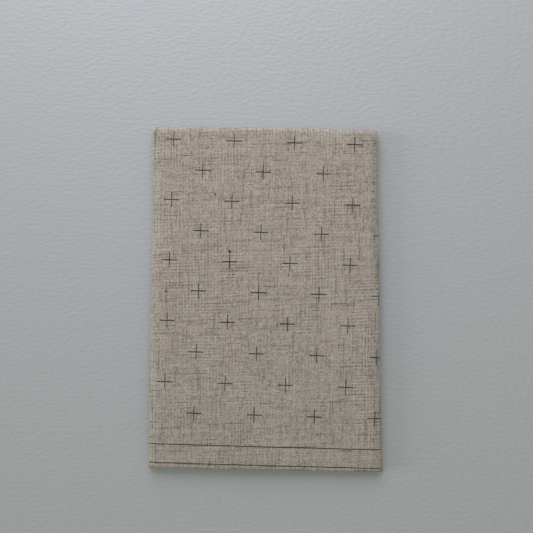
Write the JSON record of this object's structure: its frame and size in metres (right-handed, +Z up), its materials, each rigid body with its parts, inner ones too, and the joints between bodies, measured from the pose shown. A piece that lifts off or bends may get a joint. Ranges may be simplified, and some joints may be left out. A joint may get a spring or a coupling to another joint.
{
  "type": "folded length of sashiko fabric",
  "caption": "Length of natural cotton and linen cloth with a printed grid of small crosses, folded into a flat oblong pack for hand stitching.",
  "frame": {"origin": "middle of the flat underside of the folded pack", "axes": "+X across the pack, +Y along it towards the double fold, +Z up through its layers"},
  "size_m": [0.126, 0.1838, 0.0068],
  "materials": {
    "cotton_linen": "plain-woven natural cotton and linen with slubs, matt, printed with fine dark crosses"
  },
  "bodies": {
    "root": {"cloth": "cotton_linen"}
  },
  "joints": []
}
